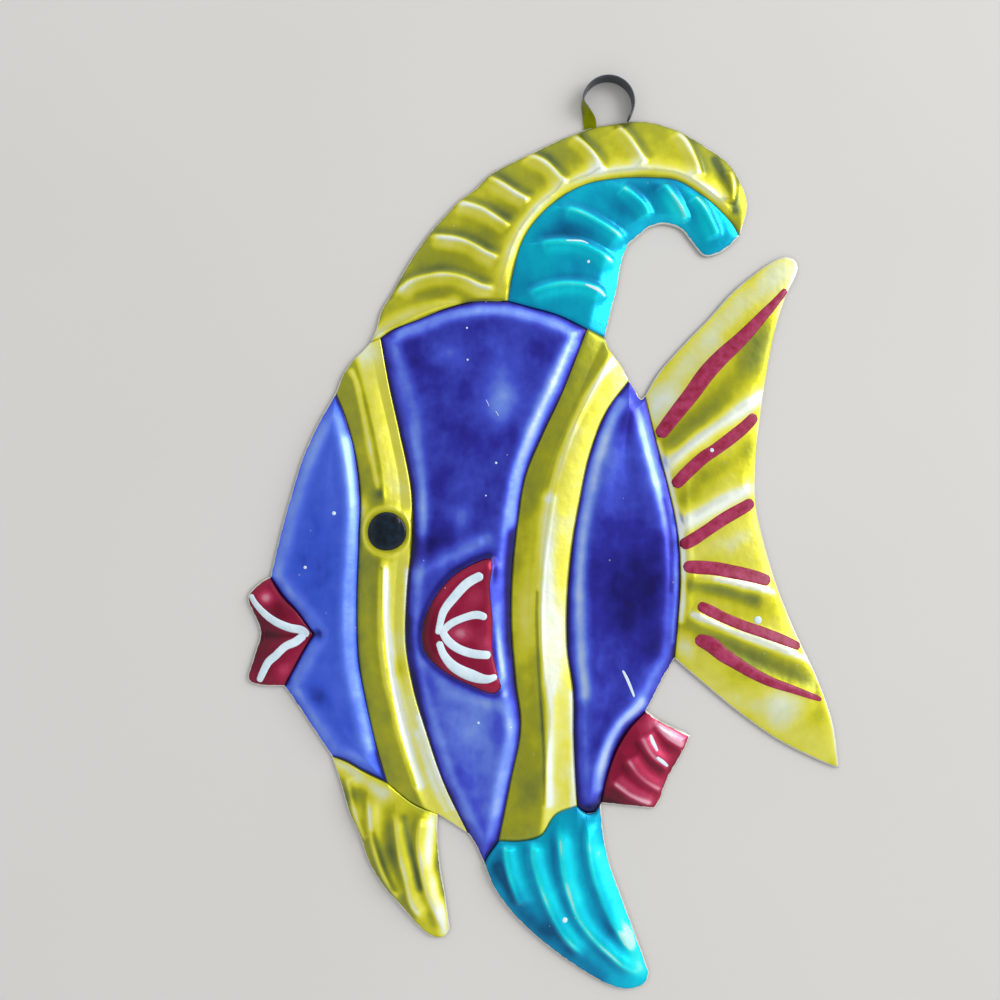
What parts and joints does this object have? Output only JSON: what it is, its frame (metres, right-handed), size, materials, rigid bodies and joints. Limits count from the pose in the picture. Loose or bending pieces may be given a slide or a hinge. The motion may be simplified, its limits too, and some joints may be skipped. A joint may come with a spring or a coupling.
{
  "type": "hojalata tin ornament",
  "caption": "Embossed tin fish ornament with lacquered fields, ribbed crest and fins, brushed enamel strokes and a hanging loop.",
  "frame": {"origin": "middle of the outline on the plane the cut edge lies on, which is the lowest plane of the part", "axes": "+Z out of the painted face, +Y towards the hanging loop, +X towards the tail"},
  "size_m": [0.0884, 0.1365, 0.005],
  "materials": {
    "tinplate": "bare bright tinplate with fine draw lines and cut edges",
    "loop_tinplate": "tinplate strip, bright edges, darker inside, a little yellow lacquer on its foot",
    "blue_lacquer": "translucent blue lacquer, high gloss, over embossed tin",
    "violet_lacquer": "translucent violet-blue lacquer, high gloss, over embossed tin",
    "yellow_lacquer": "translucent yellow lacquer, olive where thick, pale on ridges",
    "turquoise_lacquer": "translucent turquoise lacquer, high gloss, dark in the hollows",
    "red_lacquer": "translucent crimson lacquer, pink on ridges",
    "black_enamel": "opaque glossy blue-black enamel",
    "white_enamel": "opaque brushed white enamel with a cool tint",
    "red_enamel": "brushed crimson enamel, thinner and pinker at the stroke ends"
  },
  "bodies": {
    "root": {"tin_sheet": "tinplate", "hanging_loop": "loop_tinplate", "nose_lacquer": "blue_lacquer", "flank_lacquer": "violet_lacquer", "rear_field_lacquer": "violet_lacquer", "front_stripe_lacquer": "yellow_lacquer", "rear_stripe_lacquer": "yellow_lacquer", "crest_yellow_lacquer": "yellow_lacquer", "front_fin_lacquer": "yellow_lacquer", "tail_lacquer": "yellow_lacquer", "crest_turquoise_lacquer": "turquoise_lacquer", "anal_fin_lacquer": "turquoise_lacquer", "lips_lacquer": "red_lacquer", "pectoral_fin_lacquer": "red_lacquer", "rear_fin_lacquer": "red_lacquer", "eye_enamel": "black_enamel", "lip_white_strokes": "white_enamel", "pectoral_white_strokes": "white_enamel", "tail_red_strokes": "red_enamel"}
  },
  "joints": []
}
